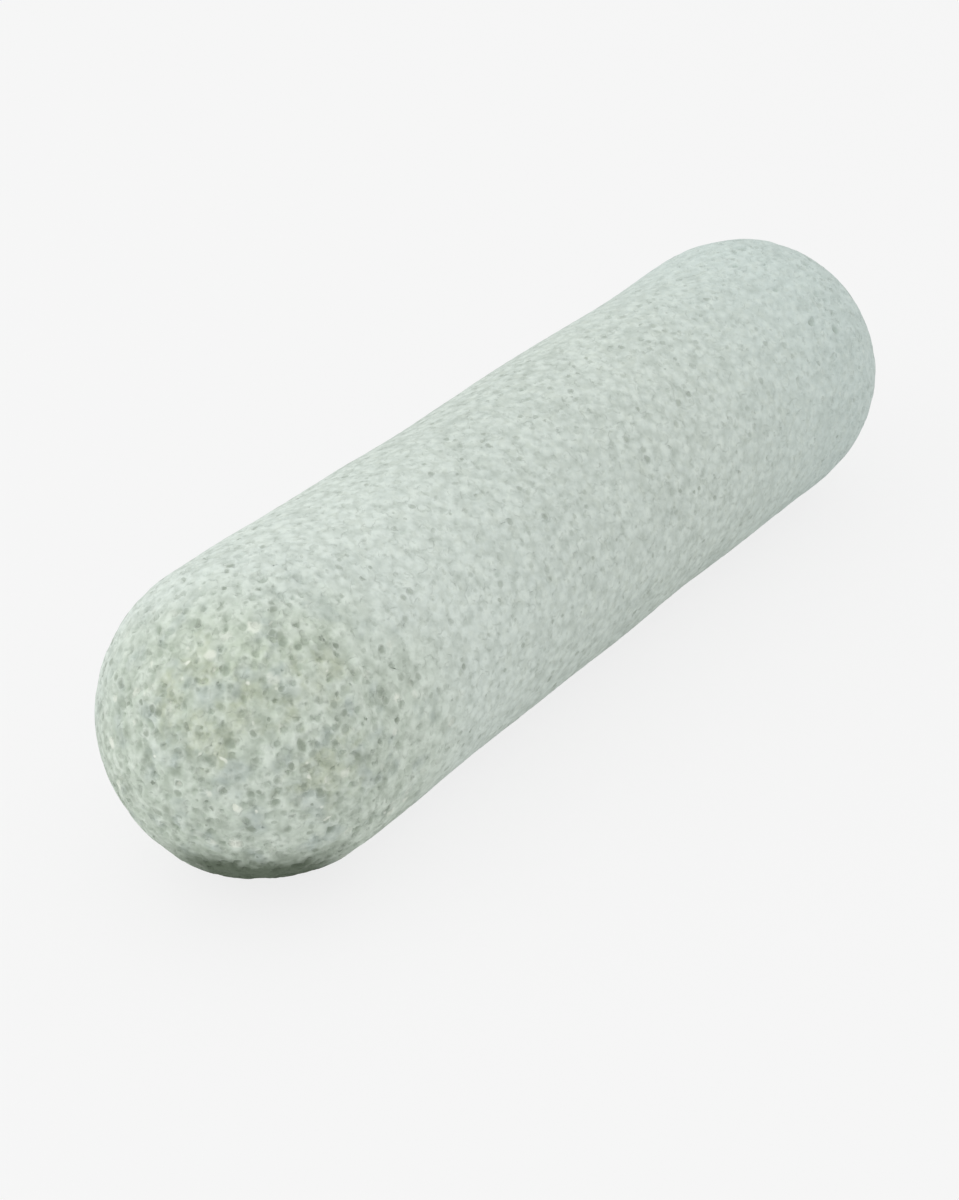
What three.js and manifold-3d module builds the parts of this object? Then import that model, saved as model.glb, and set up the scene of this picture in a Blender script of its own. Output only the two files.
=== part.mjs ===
// A pumice stone for the feet: one round bar of pale grey-green stone foam with domed ends.
// It is solid all through. Its surface is rubbed smooth and shows the bubbles that the rubbing opened,
// coarsest on the two ends. The underside is worn to a narrow flat, which is the face it lies on.
// Millimetres, +Z up. The bar runs along X, and the origin is on the flat, under the middle of the bar.

import * as THREE from "three";
import { mergeVertices, toCreasedNormals } from "three/addons/utils/BufferGeometryUtils.js";
import Module from "manifold-3d";

// Driving dimensions.
const stoneLength = 108;
const stoneWidth = 30;
const nearBluntness = 2; // exponent of the -X end's outline, where 2 is a half ball
const farBluntness = 2.4; // the same for the +X end, which is blunter
const waistDepth = 0.18; // how much thinner the bar is halfway along
const taper = 0.14; // how much thicker the bar is at its -X end, and thinner at its +X end
const wornDepth = 0.8; // height rubbed off the underside

const radius = stoneWidth / 2;
const shoulder = stoneLength / 2 - radius; // where the side turns into an end, from the middle
const axisHeight = radius - wornDepth;

// Gentle unevenness left by the rubbing: waves across the surface, each with a height, a direction
// whose length is the wave's pace in radians a millimetre, and a phase.
const unevenness = [
  { height: 0.05, along: new THREE.Vector3(0.21, 0.33, 0.12), phase: 0.6 },
  { height: 0.04, along: new THREE.Vector3(-0.34, 0.16, 0.41), phase: 2.1 },
  { height: 0.03, along: new THREE.Vector3(0.13, -0.62, 0.37), phase: 4.4 },
];

// Two low mounds that the rubbing left on the back of the bar.
const mounds = [
  { height: 0.28, spread: 9, middle: new THREE.Vector3(-31, 10, 11) },
  { height: 0.22, spread: 8, middle: new THREE.Vector3(10, 10, 11) },
];

// Opened bubbles, by zone: the stretch of the bar that they lie on, how many there are, and the
// range of their mouths' radii and of their depths as a share of the mouth's radius. Shallow hollows,
// where clusters of bubbles have crumbled, come first.
const bubbleZones = [
  { from: -stoneLength / 2, to: -shoulder + 2, count: 16, mouth: [1.0, 1.7], depth: [0.08, 0.14] },
  { from: shoulder - 2, to: stoneLength / 2, count: 12, mouth: [1.0, 1.5], depth: [0.08, 0.14] },
  { from: -stoneLength / 2, to: -shoulder + 2, count: 150, mouth: [0.32, 0.62], depth: [0.5, 0.9] },
  { from: -shoulder + 2, to: shoulder - 2, count: 120, mouth: [0.28, 0.44], depth: [0.4, 0.7] },
  { from: shoulder - 2, to: stoneLength / 2, count: 104, mouth: [0.32, 0.58], depth: [0.5, 0.8] },
];
const candidates = 3; // places tried for each bubble, of which the loneliest is taken
const clearOfOrigin = 3.5; // the middle of the flat stays whole this far out
const bubbleStretch = 0.4; // most that a mouth is longer than it is wide, as a share
const roundedMouth = 0.55; // a bubble with a mouth this big has a rounded bowl, and a smaller one a point
const roundedSides = 7;
const pointedSides = 5;

// The mesh's fineness.
const stationsOnSide = 10;
const stationsOnEnd = 7;
const sectors = 32;
const rimAngle = 0.3; // radians between two faces, past which the edge between them shows

const wasm = await Module();
wasm.setup();

// Random numbers from 0 to 1, the same on every run.
const modulus = 2147483647;
const multiplier = 16807;
let state = 20731;
function random() {
  state = (state * multiplier) % modulus;
  return state / modulus;
}

// Distance of the bar's skin from its axis, at x along it.
function radiusAt(x) {
  const along = THREE.MathUtils.clamp(x / shoulder, -1, 1);
  const thick = radius - waistDepth * (1 - along ** 2) - taper * along;
  const past = Math.max(0, Math.abs(x) - shoulder);
  const bluntness = x < 0 ? nearBluntness : farBluntness;
  return thick * Math.max(0, 1 - (past / radius) ** bluntness) ** (1 / bluntness);
}

// How far the unevenness and the mounds lift the skin at a point.
function liftAt(point) {
  let lift = 0;
  for (const { height, along, phase } of unevenness) lift += height * Math.sin(along.dot(point) + phase);
  for (const { height, spread, middle } of mounds)
    lift += height * Math.exp(-point.distanceToSquared(middle) / spread ** 2);
  return lift;
}

// Away from the bar's axis on its side, and away from the ends' centres on its ends.
function outwardAt(point) {
  const spine = new THREE.Vector3(THREE.MathUtils.clamp(point.x, -shoulder, shoulder), 0, 0);
  return point.clone().sub(spine).normalize();
}

// A point of the skin, at x along the bar and at an angle around it. The bar's axis is at z = 0 here.
function skinPoint(x, angle) {
  const r = radiusAt(x);
  const point = new THREE.Vector3(x, r * Math.cos(angle), r * Math.sin(angle));
  return point.addScaledVector(outwardAt(point), liftAt(point));
}

// A closed mesh as a solid. Faces that merging has shrunk to a line are left out.
function solidOf(geometry) {
  geometry.deleteAttribute("normal");
  geometry.deleteAttribute("uv");
  const merged = mergeVertices(geometry, 1e-4);
  const corners = merged.index.array;
  const kept = [];
  for (let i = 0; i < corners.length; i += 3) {
    const [a, b, c] = corners.slice(i, i + 3);
    if (a !== b && b !== c && c !== a) kept.push(a, b, c);
  }
  const vertProperties = merged.getAttribute("position").array;
  const triVerts = new Uint32Array(kept);
  return new wasm.Manifold(new wasm.Mesh({ numProp: 3, vertProperties, triVerts }));
}

// Places along the bar where its outline turns, from end to end. They draw together towards the tips.
function stations() {
  const onEnd = [];
  for (let i = 0; i <= stationsOnEnd; i++)
    onEnd.push(shoulder + radius * Math.cos(((i / stationsOnEnd) * Math.PI) / 2));
  const onSide = [];
  for (let i = 1; i < stationsOnSide; i++) onSide.push(shoulder * ((2 * i) / stationsOnSide - 1));
  return [...onEnd.map((x) => -x), ...onSide, ...onEnd.reverse()];
}

// The bar before any bubble is opened: its outline turned on a lathe, then pushed in and out by the
// unevenness.
function bar() {
  const outline = stations().map((x) => new THREE.Vector2(radiusAt(x), x));
  const geometry = new THREE.LatheGeometry(outline, sectors);
  geometry.rotateZ(-Math.PI / 2);
  const position = geometry.getAttribute("position");
  const point = new THREE.Vector3();
  for (let i = 0; i < position.count; i++) {
    point.fromBufferAttribute(position, i);
    point.addScaledVector(outwardAt(point), liftAt(point));
    position.setXYZ(i, point.x, point.y, point.z);
  }
  return solidOf(geometry);
}

// Cuts the flat that the stone lies on.
function wearFlat(solid) {
  const block = new THREE.BoxGeometry(2 * stoneLength, 2 * stoneWidth, stoneWidth);
  block.translate(0, 0, -axisHeight - stoneWidth / 2);
  return solid.subtract(solidOf(block));
}

// Where the bubbles open: each the loneliest of a few random places in its zone, with its size.
function openedBubbles() {
  const found = [];
  for (const zone of bubbleZones)
    for (let n = 0; n < zone.count; n++) {
      let best = null;
      for (let k = 0; k < candidates; k++) {
        const x = THREE.MathUtils.lerp(zone.from, zone.to, random());
        const centre = skinPoint(x, 2 * Math.PI * random());
        const outward = outwardAt(centre);
        if (centre.z < -axisHeight) {
          centre.z = -axisHeight;
          outward.set(0, 0, -1);
        }
        const room = Math.min(1e3, ...found.map((other) => other.centre.distanceTo(centre)));
        if (!best || room > best.room) best = { centre, outward, room };
      }
      best.mouth = THREE.MathUtils.lerp(...zone.mouth, random() ** 2);
      best.depth = best.mouth * THREE.MathUtils.lerp(...zone.depth, random());
      best.turn = 2 * Math.PI * random();
      best.stretch = 1 + bubbleStretch * random();
      const underMiddle = best.outward.z === -1 && Math.hypot(best.centre.x, best.centre.y) < clearOfOrigin;
      if (!underMiddle) found.push(best);
    }
  return found;
}

// What one bubble takes out: a bowl below the skin, open upwards through a straight-sided collar.
function bubbleSolid({ centre, outward, mouth, depth, turn, stretch }) {
  const collar = 0.3 + (mouth * mouth) / radius;
  const rounded = mouth >= roundedMouth;
  const profile = [new THREE.Vector2(0, -depth)];
  if (rounded) profile.push(new THREE.Vector2(0.62 * mouth, -0.72 * depth));
  profile.push(new THREE.Vector2(mouth, 0));
  profile.push(new THREE.Vector2(1.1 * mouth, collar));
  profile.push(new THREE.Vector2(0, collar));
  const geometry = new THREE.LatheGeometry(profile, rounded ? roundedSides : pointedSides);
  geometry.rotateY(turn);
  geometry.scale(stretch, 1, 1 / stretch);
  const turned = new THREE.Quaternion().setFromUnitVectors(new THREE.Vector3(0, 1, 0), outward);
  geometry.applyQuaternion(turned);
  geometry.translate(centre.x, centre.y, centre.z);
  return solidOf(geometry);
}

// A solid as a mesh that three.js can draw, shaded smooth except at the rims of the bubbles.
function geometryOf(solid) {
  const { vertProperties, triVerts } = solid.getMesh();
  const geometry = new THREE.BufferGeometry();
  geometry.setAttribute("position", new THREE.BufferAttribute(vertProperties, 3));
  geometry.setIndex(new THREE.BufferAttribute(triVerts, 1));
  return toCreasedNormals(geometry, rimAngle);
}

const stoneFoam = new THREE.MeshStandardMaterial({
  name: "stone_foam",
  color: new THREE.Color().setRGB(0.76, 0.805, 0.765, THREE.SRGBColorSpace),
  roughness: 0.9,
  metalness: 0,
});

const whole = wearFlat(bar());
const pierced = openedBubbles().reduce((solid, bubble) => solid.subtract(bubbleSolid(bubble)), whole);

const stone = new THREE.Mesh(geometryOf(pierced), stoneFoam);
stone.name = "pumice_stone";
stone.position.z = axisHeight;

const model = new THREE.Group();
model.add(stone);

export default model;
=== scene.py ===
import math

import bpy
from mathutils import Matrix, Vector


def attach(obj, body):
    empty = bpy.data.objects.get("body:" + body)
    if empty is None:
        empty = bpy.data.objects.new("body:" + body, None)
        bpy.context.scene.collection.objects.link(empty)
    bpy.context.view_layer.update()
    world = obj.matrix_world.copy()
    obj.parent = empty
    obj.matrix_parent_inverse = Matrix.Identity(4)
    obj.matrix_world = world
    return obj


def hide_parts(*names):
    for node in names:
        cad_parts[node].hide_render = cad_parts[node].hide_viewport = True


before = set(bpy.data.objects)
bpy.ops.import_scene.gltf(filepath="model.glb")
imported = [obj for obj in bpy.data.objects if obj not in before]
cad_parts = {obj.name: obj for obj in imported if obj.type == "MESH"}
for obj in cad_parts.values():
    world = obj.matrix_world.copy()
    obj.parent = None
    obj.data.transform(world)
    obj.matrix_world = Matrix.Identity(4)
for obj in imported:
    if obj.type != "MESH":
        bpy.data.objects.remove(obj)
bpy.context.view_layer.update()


# The stone: one solid round bar of pale grey-green stone foam, made to rub hard skin off feet. Rubbing
# it to shape opened the bubbles at its skin, coarser on the two domed ends than on the side, and wore
# the narrow flat that it lies on.

STONE = "pumice_stone"

# Sizes of the bar in millimetres. Its axis is at z = 0 until the mesh is made.
LENGTH = 108
WIDTH = 30
NEAR_BLUNTNESS = 2  # exponent of the -X end's outline, where 2 is a half ball
FAR_BLUNTNESS = 2.4  # the same for the +X end, which is blunter
WAIST = 0.18  # how much thinner the bar is halfway along
TAPER = 0.14  # how much thicker the bar is at its -X end, and thinner at its +X end
WORN = 0.8  # height rubbed off the underside
FLAT_EDGE = 0.3  # how far the edge of the worn flat is rounded
RADIUS = WIDTH / 2
SHOULDER = LENGTH / 2 - RADIUS  # where the side turns into an end, from the middle
AXIS_HEIGHT = RADIUS - WORN
METRES = 0.001

# Waves of the rubbed skin: height, direction with its pace in radians a millimetre, and phase.
WAVES = (
    (0.05, (0.21, 0.33, 0.12), 0.6),
    (0.04, (-0.34, 0.16, 0.41), 2.1),
    (0.03, (0.13, -0.62, 0.37), 4.4),
)

# Low mounds on the back of the bar: height, spread and middle.
MOUNDS = (
    (0.28, 9, (-31, 10, 11)),
    (0.22, 8, (10, 10, 11)),
)

# Large opened bubbles by zone: the stretch of the bar, how many, and the ranges of the mouths' radii
# and of their depths as a share of the mouth's radius.
END_REACH = 2  # how far the coarse zone of an end reaches along the side
NEAR_END = (-LENGTH / 2, -SHOULDER + END_REACH)
SIDE = (-SHOULDER + END_REACH, SHOULDER - END_REACH)
FAR_END = (SHOULDER - END_REACH, LENGTH / 2)
BUBBLE_ZONES = (
    (NEAR_END, 16, (1.0, 1.7), (0.08, 0.14)),
    (FAR_END, 12, (1.0, 1.5), (0.08, 0.14)),
    (NEAR_END, 150, (0.32, 0.62), (0.5, 0.9)),
    (SIDE, 120, (0.28, 0.44), (0.4, 0.7)),
    (FAR_END, 104, (0.32, 0.58), (0.5, 0.8)),
)
CANDIDATES = 3  # places tried for each bubble, of which the loneliest is taken
CLEAR_OF_ORIGIN = 3.5  # the middle of the flat stays whole this far out
STRETCH = 0.4  # most that a mouth is longer than it is wide, as a share
RAGGEDNESS = 0.9  # how far a mouth's edge strays, as a share of its radius

# The foam's own bubbles in two layers: the size of the cell that each lies in, the smallest and the
# largest as shares of the cell, and the deepest that the rubbing has left one.
COARSE_FOAM = {"cell": 0.95, "smallest": 0.18, "largest": 0.46, "deepest": 0.22}
FINE_FOAM = {"cell": 0.7, "smallest": 0.16, "largest": 0.45, "deepest": 0.16}
FOAM_LOOSENESS = 0.85  # how freely the bubbles lie in their cells, where 1 is wholly random

# Soft hollows and grain between the bubbles: how wide each is, and how high.
HOLLOW_WIDTH = 2.4
GRAIN_WIDTH = 0.5
GRAIN_HEIGHT = 0.1
RUBBED_TOP = 0.03  # the rubbing has taken off what stood higher than this

# Where the foam turns coarse towards an end, from the shoulder, and where it is calmer before the far tip.
COARSE_RISE = (-11, 3)
CALM_START = (-10, 30)
CALM_END = (52, 46)

FINENESS = 0.16  # side of one square of the mesh, before it is thinned
MOST_TRIANGLES = 196000


def random_numbers(state=20731, multiplier=16807, modulus=2147483647):
    """Numbers from 0 to 1, the same on every run."""
    while True:
        state = state * multiplier % modulus
        yield state / modulus


def between(ends, share):
    """The place between two ends, by a share from 0 to 1."""
    return ends[0] + (ends[1] - ends[0]) * share


def outward_at(point):
    """Away from the bar's axis on its side, and away from the ends' centres on its ends."""
    return (point - Vector((max(-SHOULDER, min(SHOULDER, point.x)), 0, 0))).normalized()


def skin_point(x, angle):
    """A point of the bar's skin, before any bubble is opened."""
    along = max(-1, min(1, x / SHOULDER))
    thick = RADIUS - WAIST * (1 - along**2) - TAPER * along
    past = max(0, abs(x) - SHOULDER)
    bluntness = NEAR_BLUNTNESS if x < 0 else FAR_BLUNTNESS
    radius = thick * max(0, 1 - (past / RADIUS) ** bluntness) ** (1 / bluntness)
    point = Vector((x, radius * math.cos(angle), radius * math.sin(angle)))
    lift = sum(height * math.sin(point.dot(Vector(pace)) + phase) for height, pace, phase in WAVES)
    for height, spread, middle in MOUNDS:
        lift += height * math.exp(-((point - Vector(middle)).length / spread) ** 2)
    return point + outward_at(point) * lift


def opened_bubbles():
    """Where the large bubbles open: each the loneliest of a few random places in its zone."""
    draw = random_numbers()
    found = []
    for zone, count, mouths, depths in BUBBLE_ZONES:
        for _ in range(count):
            best = None
            for _ in range(CANDIDATES):
                x = between(zone, next(draw))
                centre = skin_point(x, 2 * math.pi * next(draw))
                outward = outward_at(centre)
                if centre.z < -AXIS_HEIGHT:
                    centre.z = -AXIS_HEIGHT
                    outward = Vector((0, 0, -1))
                room = min([(other[0] - centre).length for other in found], default=math.inf)
                if best is None or room > best[0]:
                    best = (room, centre, outward)
            _, centre, outward = best
            mouth = between(mouths, next(draw) ** 2)
            depth = mouth * between(depths, next(draw))
            next(draw)  # the turn that the solid's cutter has, which a smooth bowl doesn't need
            stretch = 1 + STRETCH * next(draw)
            under_middle = outward.z == -1 and math.hypot(centre.x, centre.y) < CLEAR_OF_ORIGIN
            if under_middle:
                continue

            # The mouth's two directions on the skin: +X and +Z, when +Y is turned to the way out.
            lean = (Vector((0, 1, 0)) + outward) / (1 + outward.y)
            lengthwise = (Vector((1, 0, 0)) - lean * outward.x) / (mouth * stretch)
            crosswise = (Vector((0, 0, 1)) - lean * outward.z) * stretch / mouth
            found.append((centre, lengthwise, crosswise, depth))
    return found


def bubble_points():
    """The large bubbles as loose points that carry their sizes."""
    centres, *sizes = zip(*opened_bubbles())
    mesh = bpy.data.meshes.new("bubbles")
    mesh.from_pydata(centres, [], [])
    for name, directions in zip(("lengthwise", "crosswise"), sizes):
        layer = mesh.attributes.new(name, "FLOAT_VECTOR", "POINT")
        for row, direction in zip(layer.data, directions):
            row.vector = direction
    layer = mesh.attributes.new("depth", "FLOAT", "POINT")
    for row, depth in zip(layer.data, sizes[-1]):
        row.value = depth
    points = bpy.data.objects.new("bubbles", mesh)
    bpy.context.scene.collection.objects.link(points)
    return points


class Socket:
    """An output of a node, which plain arithmetic joins to others in the same tree."""

    def __init__(self, tree, output):
        self.tree = tree
        self.output = output
        self.many = output.type in ("VECTOR", "RGBA")

    def calc(self, operation, *others):
        """A Math or Vector Math node with this socket as its first input."""
        kind = "ShaderNodeVectorMath" if self.many else "ShaderNodeMath"
        node = self.tree.nodes.new(kind)
        node.operation = operation
        for spot, value in enumerate((self, *others)):
            join(self.tree, value, node.inputs[spot], spread=self.many)
        single = operation in ("DOT_PRODUCT", "LENGTH", "DISTANCE")
        return Socket(self.tree, node.outputs["Value" if single or not self.many else "Vector"])

    def __add__(self, other):
        return self.calc("ADD", other)

    def __sub__(self, other):
        return self.calc("SUBTRACT", other)

    def __rsub__(self, other):
        return self * -1 + other

    def __mul__(self, other):
        return self.calc("MULTIPLY", other)

    def __truediv__(self, other):
        return self.calc("DIVIDE", other)

    def __rtruediv__(self, other):
        return self.calc("POWER", -1) * other

    def __neg__(self):
        return self * -1

    def __abs__(self):
        return self.calc("ABSOLUTE")

    def scaled(self, amount):
        """This vector times a number."""
        return place(self.tree, "ShaderNodeVectorMath", {0: self, "Scale": amount}, operation="SCALE")

    def dot(self, other):
        return self.calc("DOT_PRODUCT", other)

    def axes(self):
        """This vector's three parts."""
        node = self.tree.nodes.new("ShaderNodeSeparateXYZ")
        join(self.tree, self, node.inputs[0])
        return [Socket(self.tree, output) for output in node.outputs]


def join(tree, value, to, spread=False):
    """Links a socket to an input, or sets the input to a number."""
    if isinstance(value, Socket):
        tree.links.new(value.output, to)
    elif spread and not hasattr(value, "__len__"):
        to.default_value = (value,) * 3
    else:
        to.default_value = value


def place(tree, kind, inputs=None, output=0, **settings):
    """Adds a node with its settings and inputs, and gives back one of its outputs."""
    node = tree.nodes.new(kind)
    for name, value in settings.items():
        setattr(node, name, value)
    for name, value in (inputs or {}).items():
        join(tree, value, node.inputs[name])
    return Socket(tree, node.outputs[output])


def vector_of(tree, x, y, z):
    """A vector from its three parts."""
    return place(tree, "ShaderNodeCombineXYZ", {0: x, 1: y, 2: z})


def group_inputs(tree):
    """The tree's own inputs, by name."""
    return {o.name: Socket(tree, o) for o in tree.nodes.new("NodeGroupInput").outputs if o.name}


def smooth_rise(value, low, high):
    """0 at low, 1 at high, and an easy slope between. Low may be the larger of the two."""
    return place(
        value.tree,
        "ShaderNodeMapRange",
        {"Value": value, "From Min": low, "From Max": high},
        interpolation_type="SMOOTHSTEP",
    )


def noise(tree, position, wavelength, detail=2):
    """Random cloudiness around 0, about a wavelength across."""
    inputs = {"Vector": position, "Scale": 1 / wavelength, "Detail": detail, "Roughness": 0.55}
    return place(tree, "ShaderNodeTexNoise", inputs, output="Fac") - 0.5


def cells(tree, position, size, looseness=1):
    """Random cells of a size: how far their middle is, their own random colour, and their middle."""
    texture = tree.nodes.new("ShaderNodeTexVoronoi")
    texture.inputs["Scale"].default_value = 1
    texture.inputs["Randomness"].default_value = looseness
    join(tree, position.scaled(1 / size), texture.inputs["Vector"])
    return [Socket(tree, texture.outputs[name]) for name in ("Distance", "Color", "Position")]


def foam_depth(tree, position, outward, cell, smallest, largest, deepest):
    """How deep the skin is opened by the foam's own bubbles, which are balls at random places."""
    _, colour, centre = cells(tree, position, cell, FOAM_LOOSENESS)
    away = position.scaled(1 / cell) - centre
    ball = colour.axes()[0] * (largest - smallest) + smallest
    above = away.dot(outward)
    reach = ball * ball - away.dot(away) + above * above
    inside = (ball * ball - away.dot(away)).calc("GREATER_THAN", 0)
    down = above + reach.calc("MAXIMUM", 0).calc("SQRT")
    return (down * cell * inside).calc("MINIMUM", deepest).calc("MAXIMUM", 0)


def rubbed_skin(tree, given, radius, shoulder):
    """The box's surface bent to the bar's, before its flat is worn, and the direction out of it."""
    x, y, z = place(tree, "GeometryNodeInputPosition").axes()
    spine = abs(x).calc("MINIMUM", shoulder) * x.calc("SIGN")
    bend = vector_of(tree, (x - spine) / radius, y / radius, z / radius).scaled(math.pi / 4)
    direction = bend.calc("TANGENT").calc("NORMALIZE")
    dx, dy, dz = direction.axes()
    bluntness = x.calc("GREATER_THAN", 0) * (FAR_BLUNTNESS - NEAR_BLUNTNESS) + NEAR_BLUNTNESS
    painted_flank_light = (dy * dy + dz * dz).calc("POWER", bluntness / 2)
    blunt = (abs(dx).calc("POWER", bluntness) + painted_flank_light).calc("POWER", -1 / bluntness)
    along = spine / shoulder
    slim = (1 - along * along) * given["Waist"] + along * given["Taper"]
    thick = (radius - slim) * blunt
    skin = vector_of(tree, spine + dx * radius * blunt, dy * thick, dz * thick)
    lifts = [(skin.dot(pace) + phase).calc("SINE") * height for height, pace, phase in WAVES]
    for height, spread, middle in MOUNDS:
        apart = skin.calc("DISTANCE", middle) / spread
        lifts.append((-(apart * apart)).calc("EXPONENT") * height)
    return skin + direction.scaled(sum(lifts[1:], lifts[0])), direction


def large_bubbles(tree, bubbles, skin):
    """How deep the skin is opened by the nearest of the large bubbles."""
    nearest = place(
        tree, "GeometryNodeSampleNearest", {"Geometry": bubbles, "Sample Position": skin}, domain="POINT"
    )

    def of_nearest(value, kind):
        inputs = {"Geometry": bubbles, "Value": value, "Index": nearest}
        return place(tree, "GeometryNodeSampleIndex", inputs, data_type=kind, domain="POINT")

    def named(name, kind):
        value = place(tree, "GeometryNodeInputNamedAttribute", {"Name": name}, data_type=kind)
        return of_nearest(value, kind)

    away = skin - of_nearest(place(tree, "GeometryNodeInputPosition"), "FLOAT_VECTOR")
    across = away.dot(named("lengthwise", "FLOAT_VECTOR"))
    over = away.dot(named("crosswise", "FLOAT_VECTOR"))
    ragged = noise(tree, skin, GRAIN_WIDTH) * RAGGEDNESS
    bowl = 1 - (across * across + over * over + ragged)
    return bowl.calc("MAXIMUM", 0).calc("SQRT") * named("depth", "FLOAT")


def stone_tree(finish):
    """The tree that makes the stone: a box bent to a bar, rubbed uneven, and opened by its bubbles."""
    tree = bpy.data.node_groups.new("stone_foam_bar", "GeometryNodeTree")
    sizes = {
        "Length": LENGTH,
        "Width": WIDTH,
        "Waist": WAIST,
        "Taper": TAPER,
        "Worn": WORN,
        "Fineness": FINENESS,
    }
    tree.interface.new_socket("Bubbles", in_out="INPUT", socket_type="NodeSocketObject")
    for name, value in sizes.items():
        size = tree.interface.new_socket(name, in_out="INPUT", socket_type="NodeSocketFloat")
        size.default_value = value
    tree.interface.new_socket("Stone", in_out="OUTPUT", socket_type="NodeSocketGeometry")
    given = group_inputs(tree)
    radius = given["Width"] / 2
    shoulder = given["Length"] / 2 - radius
    rest = radius - given["Worn"]

    # A box with small even squares, whose ends are bent to domes.
    across = radius * (math.pi / 2) / given["Fineness"]
    box_inputs = {
        "Size": vector_of(tree, given["Length"], given["Width"], given["Width"]),
        "Vertices X": given["Length"] / given["Fineness"],
        "Vertices Y": across,
        "Vertices Z": across,
    }
    box = place(tree, "GeometryNodeMeshCube", box_inputs, output="Mesh")
    skin, direction = rubbed_skin(tree, given, radius, shoulder)

    # The flat, with its edge worn round.
    x, y, z = skin.axes()
    worn = place(tree, "ShaderNodeMath", {0: z, 1: -rest, 2: FLAT_EDGE}, operation="SMOOTH_MAX")
    on_flat = smooth_rise(worn - z, 0, 0.05)
    skin = vector_of(tree, x, y, worn)
    down = vector_of(tree, 0, 0, -1)
    ways = {"Factor": on_flat, 4: direction, 5: down}
    outward = place(tree, "ShaderNodeMix", ways, output=1, data_type="VECTOR").calc("NORMALIZE")

    # How coarse the foam is: most on the two ends, which it covers less far on the back.
    towards_end = abs(x) - y.calc("MAXIMUM", 0) * 0.35 + noise(tree, skin, 5) * 6
    calmer = smooth_rise(x, *CALM_START) * smooth_rise(x, *CALM_END)
    rise = [shoulder + step for step in COARSE_RISE]
    coarse = smooth_rise(towards_end, *rise) * (1 - calmer * 0.5)

    # The bubbles, and the hollows and grain of the foam between them.
    bubbles = place(tree, "GeometryNodeObjectInfo", {"Object": given["Bubbles"]}, output="Geometry")
    large = large_bubbles(tree, bubbles, skin)
    coarse_foam = foam_depth(tree, skin, outward, **COARSE_FOAM) * (coarse * 0.8 + 0.2)
    fine_foam = foam_depth(tree, skin + 7.3, outward, **FINE_FOAM) * (coarse * 0.3 + 0.5)
    hollows = noise(tree, skin, HOLLOW_WIDTH, 1) * (coarse * 0.4 + 0.1)
    grain = noise(tree, skin, GRAIN_WIDTH, 3) * GRAIN_HEIGHT
    sunk = large.calc("MAXIMUM", coarse_foam).calc("MAXIMUM", fine_foam)
    rubbed = (hollows + grain).calc("MINIMUM", RUBBED_TOP) - RUBBED_TOP
    flat_keeps = 1 - on_flat * 0.5
    final = skin + outward.scaled(-(sunk * flat_keeps - rubbed * flat_keeps))

    lifted = vector_of(tree, 0, 0, rest) + final
    marked = box
    for name, value in (("sunk", sunk), ("coarse", coarse)):
        marks = {"Geometry": marked, "Name": name, "Value": value}
        marked = place(tree, "GeometryNodeStoreNamedAttribute", marks, data_type="FLOAT", domain="POINT")
    shaped = place(tree, "GeometryNodeSetPosition", {"Geometry": marked, "Position": lifted.scaled(METRES)})
    smooth = place(tree, "GeometryNodeSetShadeSmooth", {"Geometry": shaped})
    whole = place(tree, "GeometryNodeRealizeInstances", {"Geometry": smooth})
    finished = place(tree, "GeometryNodeSetMaterial", {"Geometry": whole, "Material": finish})
    tree.links.new(finished.output, tree.nodes.new("NodeGroupOutput").inputs["Stone"])
    return tree


def stone_piece(finish):
    """The finished stone as a plain mesh, thinned to at most a set number of triangles."""
    points = bubble_points()
    stone = bpy.data.objects.new(STONE + "_foam", bpy.data.meshes.new(STONE + "_foam"))
    bpy.context.scene.collection.objects.link(stone)
    shaping = stone.modifiers.new("foam bar", "NODES")
    tree = stone_tree(finish)
    shaping.node_group = tree
    for socket in tree.interface.items_tree:
        if socket.name == "Bubbles":
            shaping[socket.identifier] = points
    thinning = stone.modifiers.new("thinning", "DECIMATE")
    thinning.ratio = 1
    view = bpy.context.evaluated_depsgraph_get()
    full = stone.evaluated_get(view).data
    triangles = sum(len(polygon.vertices) - 2 for polygon in full.polygons)
    thinning.ratio = MOST_TRIANGLES / triangles
    view = bpy.context.evaluated_depsgraph_get()
    mesh = bpy.data.meshes.new_from_object(stone.evaluated_get(view), depsgraph=view)
    stone.modifiers.clear()
    stone.data = mesh
    bpy.data.objects.remove(points)
    return stone


def paint(red, green, blue):
    """A colour given as a screen shows it, from 0 to 255, in the renderer's own terms."""
    shares = [part / 255 for part in (red, green, blue)]
    return (*[p / 12.92 if p <= 0.04045 else ((p + 0.055) / 1.055) ** 2.4 for p in shares], 1)


MINT = paint(213, 223, 216)  # the middle of the bar
BLUISH = paint(209, 222, 218)  # towards its far end
PALE = paint(221, 231, 224)  # the side next to its near end
OLIVE = paint(201, 213, 195)  # the near end
OCHRE = paint(193, 202, 179)  # stains on the near end
SLATE = paint(184, 196, 191)  # grey patches between them
UNDER_SHADE = paint(90, 102, 84)  # painted shade under the near end, where it nearly meets the floor
HOLLOW = paint(142, 153, 138)  # painted shade in open bubbles, creases and between lumps, and the foam's darker mottling
GRAIN = paint(230, 239, 229)  # the walls between them and the foam's paler grain, and painted highlights on the bubbles' rims and on lumps
GLINT = paint(244, 248, 236)  # whitish grains, and painted glints

# Ochre stains on the near end: the middle of each, and how far it spreads.
STAINS = (
    ((-51, -5.3, 21.4), 4.0),
    ((-48, -6.7, 24.2), 4.6),
    ((-44, -10, 24.2), 3.2),
    ((-40.5, -10.5, 25.2), 3.0),
    ((-50.7, -0.2, 23.7), 3.0),
    ((-48, -2.7, 26), 3.0),
    ((-45, -12.5, 17), 4.5),
)

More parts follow.
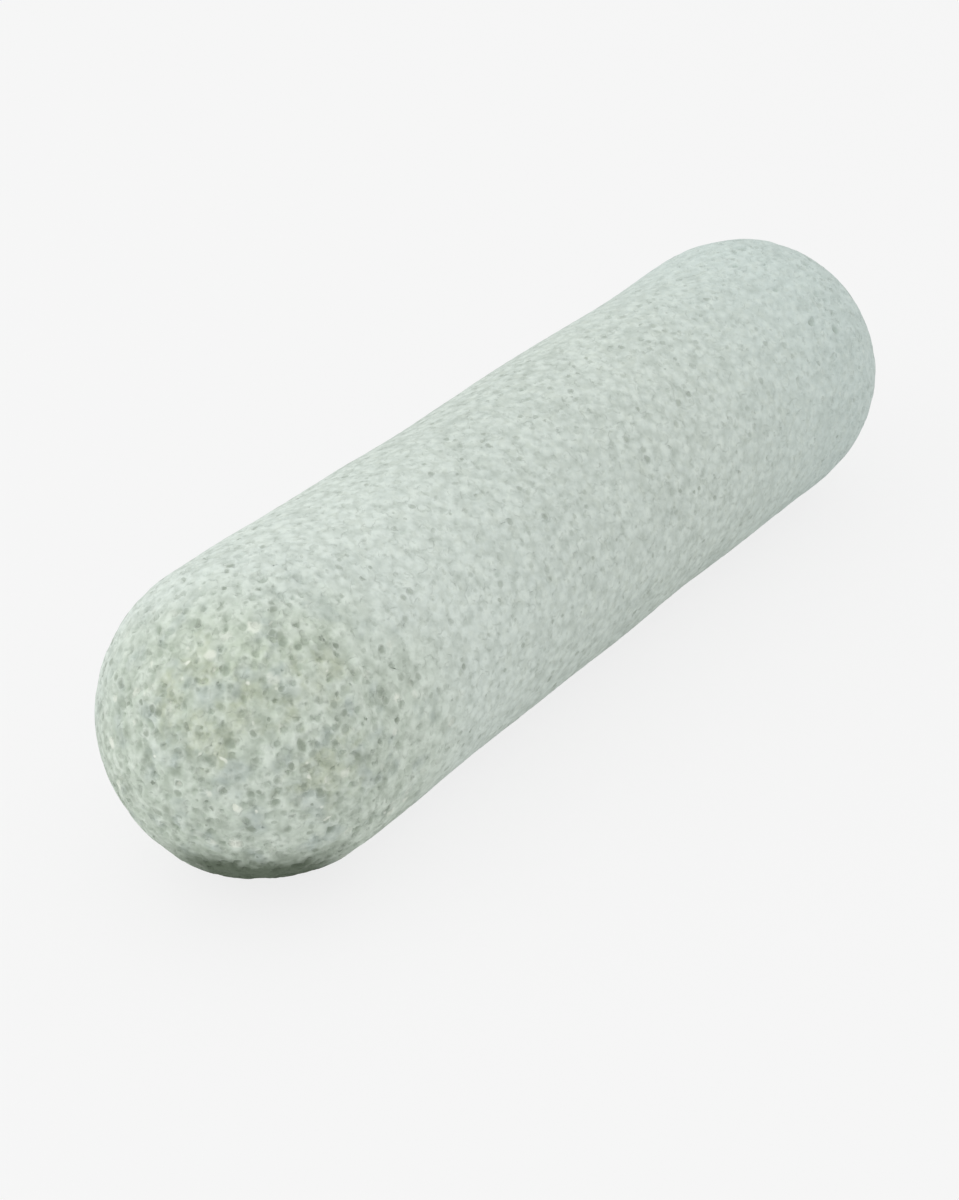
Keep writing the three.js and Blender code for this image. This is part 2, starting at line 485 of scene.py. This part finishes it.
# Painted shade under the near end, where it nearly meets the floor: a place in its middle, and the
# direction that it is narrow in.
UNDERSIDE_SHADE_MIDDLE = (-45.7, -5.2, 1.8)
UNDERSIDE_SHADE_NARROW = (0.62, -0.79, 0)

# Where each tint, and the painted light and shade, begins and where it is full, in millimetres along the
# bar, across it or up.
FAR_TINT = (10, 50)
NEAR_TINT = (-36, -50)
PALE_TINT = (-6, -28)
TIP_SHADE = (-46, -52)
FLANK_ALONG = (-16, -30)
FLANK_ACROSS = (-6, -12)
UNDER_SHADE_UP = (10.2, 6.4)
UNDER_SHADE_ACROSS = (10, 4)
UNDER_SHADE_ALONG = (-34, -42)

# How wide the stone's patches, clouds, lumps, wrinkles and grain are, in millimetres.
PATCH_WIDTH = 3.2
BLOTCH_WIDTH = 2.1
CLOUD_WIDTH = 1.15
LUMP_WIDTH = 1.1
CREASE_WIDTH = 1.2
FINE_GRAIN_WIDTH = 0.6

PORE_LOOSENESS = 0.95
RELIEF = 0.7
ROUGHNESS = 0.88
SHINE = 0.4


def pore_group():
    """A shader group for a layer of small bubbles: where they open, how deep, and where their rims are."""
    tree = bpy.data.node_groups.new("opened pores", "ShaderNodeTree")
    tree.interface.new_socket("Position", in_out="INPUT", socket_type="NodeSocketVector")
    for name in ("Cell", "Smallest", "Largest", "Share"):
        tree.interface.new_socket(name, in_out="INPUT", socket_type="NodeSocketFloat")
    for name in ("Depth", "Mouth", "Rim"):
        tree.interface.new_socket(name, in_out="OUTPUT", socket_type="NodeSocketFloat")
    given = group_inputs(tree)
    distance, colour, _ = cells(tree, given["Position"], given["Cell"], PORE_LOOSENESS)
    chance, size, dark = colour.axes()
    opened = (given["Share"] - chance).calc("GREATER_THAN", 0)
    strength = opened * (dark * dark * 0.85 + 0.25)
    ball = size * (given["Largest"] - given["Smallest"]) + given["Smallest"]
    reach = 1 - distance / ball
    inside = (ball * ball - distance * distance).calc("MAXIMUM", 0).calc("SQRT")
    results = {
        "Depth": inside * strength * given["Cell"],
        "Mouth": smooth_rise(reach, 0, 0.5) * strength,
        "Rim": smooth_rise(abs(reach + 0.2), 0.25, 0) * strength,
    }
    ends = tree.nodes.new("NodeGroupOutput")
    for name, value in results.items():
        join(tree, value, ends.inputs[name])
    return tree


def pores(tree, group, **given):
    """One layer of small bubbles: its depth in millimetres, its mouths and its rims."""
    node = tree.nodes.new("ShaderNodeGroup")
    node.node_tree = group
    for name, value in given.items():
        join(tree, value, node.inputs[name])
    return [Socket(tree, node.outputs[name]) for name in ("Depth", "Mouth", "Rim")]


def shifts(tree, position, pace, detail=2):
    """Random shifts around 0 in all three directions, with so many to a millimetre."""
    inputs = {"Vector": position, "Scale": pace, "Detail": detail}
    return place(tree, "ShaderNodeTexNoise", inputs, output="Color") - 0.5


def ochre_stain(tree, here):
    """Where the stains are: a few blots with frayed edges."""
    frayed = here + shifts(tree, here, 0.28, 3).scaled(7)
    nearest = None
    for middle, spread in STAINS:
        blot = 1 - frayed.calc("DISTANCE", middle) / spread
        nearest = blot if nearest is None else nearest.calc("MAXIMUM", blot)
    return smooth_rise(nearest + noise(tree, here, 1.8, 3) * 2.2, 0, 0.8)


def painted_underside_shade(tree, here):
    """Where the painted shade is, low under the near end, where it nearly meets the floor."""
    x, _, z = here.axes()
    sideways = abs((here - UNDERSIDE_SHADE_MIDDLE).dot(UNDERSIDE_SHADE_NARROW)) + noise(tree, here, 1.5) * 3
    up = z + noise(tree, here + 3, 1.5) * 3
    along = x + noise(tree, here, 2.5) * 8
    low = smooth_rise(up, *UNDER_SHADE_UP)
    return low * smooth_rise(sideways, *UNDER_SHADE_ACROSS) * smooth_rise(along, *UNDER_SHADE_ALONG)


def blend(first, second, share):
    """One colour laid over another, by a share from 0 to 1."""
    tree = share.tree
    node = tree.nodes.new("ShaderNodeMix")
    node.data_type = "RGBA"
    for value, to in ((share, node.inputs[0]), (first, node.inputs[6]), (second, node.inputs[7])):
        join(tree, value, to)
    return Socket(tree, node.outputs[2])


def coated(colour, *coats):
    """A colour with coats of others laid over it, each by its share."""
    for coat, share in coats:
        colour = blend(colour, coat, share)
    return colour


def stone_finish():
    """Rubbed stone foam: pale grey-green, stained ochre in patches, with painted shade in its open bubbles
    and under its near end, and painted highlights and glints.
    """
    material = bpy.data.materials.new("rubbed stone foam")
    material.use_nodes = True
    tree = material.node_tree
    shader = tree.nodes["Principled BSDF"]
    here = place(tree, "ShaderNodeTexCoord", output="Object").scaled(1 / METRES)
    x, y, _ = here.axes()
    sunk = place(tree, "ShaderNodeAttribute", output="Fac", attribute_name="sunk")
    coarse = place(tree, "ShaderNodeAttribute", output="Fac", attribute_name="coarse")

    # The smallest bubbles in two layers, whitish grains and lumps, all bent a little out of round.
    wander = here + shifts(tree, here, 1.1).scaled(0.5) + shifts(tree, here, 3.6).scaled(0.12)
    off_lump, _, _ = cells(tree, wander + 11, LUMP_WIDTH)
    group = pore_group()
    pit_depth, pit_mouth, pit_rim = pores(
        tree,
        group,
        Position=wander,
        Cell=1,
        Smallest=0.2,
        Largest=coarse * 0.08 + 0.44,
        Share=coarse * 0.15 + 0.6,
    )
    fine_depth, fine_mouth, _ = pores(
        tree,
        group,
        Position=wander + 3.1,
        Cell=0.6,
        Smallest=0.25,
        Largest=0.5,
        Share=coarse * 0.1 + 0.4,
    )
    _, whitish, _ = pores(
        tree,
        group,
        Position=wander + 5.7,
        Cell=1.9,
        Smallest=0.24,
        Largest=0.42,
        Share=0.3,
    )

    # The clouds and wrinkles of the foam between them, each from a stretch of noise of its own.
    patch = noise(tree, here + 50, PATCH_WIDTH)
    blotch = noise(tree, here + 70, BLOTCH_WIDTH, 1)
    cloud = noise(tree, here + 20, CLOUD_WIDTH, 1)
    grain = noise(tree, here, FINE_GRAIN_WIDTH, 1)
    off_wall = off_lump + cloud * 0.8
    crease = smooth_rise(abs(noise(tree, wander + 30, CREASE_WIDTH, 1)), 0.07, 0)
    crease = crease * smooth_rise(noise(tree, here + 40, 1, 0), 0, 0.12)

    # The tints and stains of the whole bar, with painted light on the near end's -Y flank and painted shade
    # at its tip.
    near = smooth_rise(x + y * 0.8 + noise(tree, here, 6, 1) * 8, *NEAR_TINT)
    far = smooth_rise(x, *FAR_TINT)
    # painted light: the near end's -Y flank made paler
    painted_flank_light = smooth_rise(y, *FLANK_ACROSS) * smooth_rise(x, *FLANK_ALONG)
    stain = ochre_stain(tree, here)
    plain = coated(
        MINT,
        (BLUISH, far),
        (PALE, smooth_rise(x, *PALE_TINT)),
        (OLIVE, near),
        # painted shade: the near end's tip made darker and greyer
        (SLATE, smooth_rise(x, *TIP_SHADE) * 0.3),
        (PALE, painted_flank_light * 0.4),
        (OCHRE, stain * 0.85),
        (SLATE, smooth_rise(patch, 0, 0.2) * (near * 0.55 + 0.2)),
        (GRAIN, smooth_rise(patch, -0.02, -0.2) * near * 0.3),
        (HOLLOW, smooth_rise(blotch, 0.02, 0.2) * near * 0.4),
        (GRAIN, smooth_rise(blotch, -0.02, -0.2) * near * 0.45),
    )

    # The foam's own texture, which is fainter on the far end, with painted shade in its bubbles, creases
    # and between its lumps, and painted highlights on the lumps and the bubbles' rims.
    textured = coated(
        plain,
        (HOLLOW, smooth_rise(cloud, 0.05, -0.25) * 0.22),
        (GRAIN, smooth_rise(cloud, -0.05, 0.25) * 0.4),
        # painted shade in the creases
        (HOLLOW, crease * 0.2),
        # painted shade between the lumps, and painted light on them
        (HOLLOW, smooth_rise(off_wall, 0.4, 0.8) * 0.22),
        (GRAIN, smooth_rise(off_wall, 0.4, 0.05) * 0.3),
        (GRAIN, smooth_rise(grain, 0.02, 0.2) * 0.12),
        (HOLLOW, smooth_rise(grain, -0.02, -0.2) * 0.1),
        # painted shade in the small bubbles, and painted highlights on their rims
        (HOLLOW, pit_mouth * (coarse * 0.25 + 0.48)),
        (HOLLOW, fine_mouth * (coarse * 0.05 + 0.2)),
        (GRAIN, pit_rim * (coarse * 0.15 + 0.1)),
    )
    faint = far * smooth_rise(x, *CALM_END) * 0.5
    # glossy specks, which are also brightened in colour below as painted glints
    glint = smooth_rise(noise(tree, here + 14, 0.8, 0) + stain * 0.1, 0.31, 0.44) * coarse
    colour = coated(
        blend(plain, textured, 1 - faint),
        # painted shade in the large bubbles, by how deep they open
        (HOLLOW, smooth_rise(sunk, 0.08, 0.45) * (coarse * 0.15 + 0.35)),
        # whitish grains, and glossy specks brightened as painted glints
        (GLINT, (whitish * near).calc("MAXIMUM", glint) * 0.75),
        # painted shade under the near end, where it nearly meets the floor
        (UNDER_SHADE, painted_underside_shade(tree, here) * 0.95),
    )
    join(tree, colour, shader.inputs["Base Color"])

    raised = grain * 0.08 + cloud * 0.15
    opened = off_lump * 0.08 + crease * 0.05 + pit_depth * 0.4 + fine_depth * 0.15
    relief = {"Height": raised - opened, "Strength": RELIEF, "Distance": METRES}
    join(tree, place(tree, "ShaderNodeBump", relief, output="Normal"), shader.inputs["Normal"])
    join(tree, ROUGHNESS - glint * 0.5, shader.inputs["Roughness"])
    shader.inputs["Specular IOR Level"].default_value = SHINE
    return material


stone = stone_piece(stone_finish())
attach(stone, "root")
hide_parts(STONE)


# The studio floor: a wide plain pale sheet that the stone lies on. To the camera it glows, so that it
# shows only a faint shadow, and to the stone it is a plain sheet that throws light back.

FLOOR_SIZE = 6  # metres
FLOOR_GLOW = 0.805
FLOOR_GREY = 0.12
FLOOR_BOUNCE = 0.84


def pale_floor():
    """One shader for what the camera sees, and another for the light that reaches the stone."""
    material = bpy.data.materials.new("pale floor")
    material.use_nodes = True
    tree = material.node_tree
    seen = tree.nodes["Principled BSDF"]
    seen.inputs["Base Color"].default_value = (FLOOR_GREY, FLOOR_GREY, FLOOR_GREY, 1)
    seen.inputs["Roughness"].default_value = 1
    seen.inputs["Specular IOR Level"].default_value = 0
    seen.inputs["Emission Color"].default_value = (1, 1, 1, 1)
    seen.inputs["Emission Strength"].default_value = FLOOR_GLOW
    bounce = tree.nodes.new("ShaderNodeBsdfDiffuse")
    bounce.inputs["Color"].default_value = (FLOOR_BOUNCE, FLOOR_BOUNCE, FLOOR_BOUNCE, 1)
    either = tree.nodes.new("ShaderNodeMixShader")
    tree.links.new(tree.nodes.new("ShaderNodeLightPath").outputs["Is Camera Ray"], either.inputs[0])
    tree.links.new(bounce.outputs[0], either.inputs[1])
    tree.links.new(seen.outputs[0], either.inputs[2])
    tree.links.new(either.outputs[0], tree.nodes["Material Output"].inputs["Surface"])
    return material


def studio_floor():
    """A flat square around the origin, with its own finish."""
    mesh = bpy.data.meshes.new("studio_floor")
    half = FLOOR_SIZE / 2
    corners = [(-half, -half, 0), (half, -half, 0), (half, half, 0), (-half, half, 0)]
    mesh.from_pydata(corners, [], [(0, 1, 2, 3)])
    mesh.materials.append(pale_floor())
    floor = bpy.data.objects.new("studio_floor", mesh)
    bpy.context.scene.collection.objects.link(floor)
    return floor


studio_floor()


# The light: a large soft lamp high on the left behind the stone, another straight above it, and pale
# surroundings on all sides.

SURROUNDINGS = 0.78


def soft_light(name, towards, distance, size, power):
    """A square soft lamp that hangs in a direction from the stone and faces it."""
    lamp = bpy.data.lights.new(name, "AREA")
    lamp.size = size
    lamp.energy = power
    hung = bpy.data.objects.new(name, lamp)
    direction = Vector(towards).normalized()
    hung.location = direction * distance
    hung.rotation_euler = direction.to_track_quat("Z", "Y").to_euler()
    bpy.context.scene.collection.objects.link(hung)


soft_light("key", towards=(-0.75, 0.5, 0.55), distance=0.8, size=0.7, power=1.5)
soft_light("top", towards=(0, 0, 1), distance=0.8, size=0.9, power=0.9)
world = bpy.data.worlds.new("pale surroundings")
world.use_nodes = True
world.node_tree.nodes["Background"].inputs["Color"].default_value = (1, 1, 1, 1)
world.node_tree.nodes["Background"].inputs["Strength"].default_value = SURROUNDINGS
bpy.context.scene.world = world
bpy.context.scene.view_settings.view_transform = "Standard"


# The camera, which looks down on the bar's near end from the left, at the photo's angle. It is turned
# and moved back from the place that it looks at.

AIM = Vector((-6.6, 0, 9.2)) * METRES
CAMERA_DISTANCE = 261.6 * METRES
CAMERA_AZIMUTH = math.radians(-52)
CAMERA_ELEVATION = math.radians(34.6)
LENS = 78
FRAME_HEIGHT = 36
NEAREST_SEEN = 0.01

lens = bpy.data.cameras.new("camera")
lens.lens = LENS
lens.sensor_fit = "VERTICAL"
lens.sensor_height = FRAME_HEIGHT
lens.clip_start = NEAREST_SEEN
camera = bpy.data.objects.new("camera", lens)
back = Vector((
    math.sin(CAMERA_AZIMUTH) * math.cos(CAMERA_ELEVATION),
    -math.cos(CAMERA_AZIMUTH) * math.cos(CAMERA_ELEVATION),
    math.sin(CAMERA_ELEVATION),
))
camera.location = AIM + back * CAMERA_DISTANCE
camera.rotation_euler = (math.pi / 2 - CAMERA_ELEVATION, 0, CAMERA_AZIMUTH)
bpy.context.scene.collection.objects.link(camera)
bpy.context.scene.camera = camera
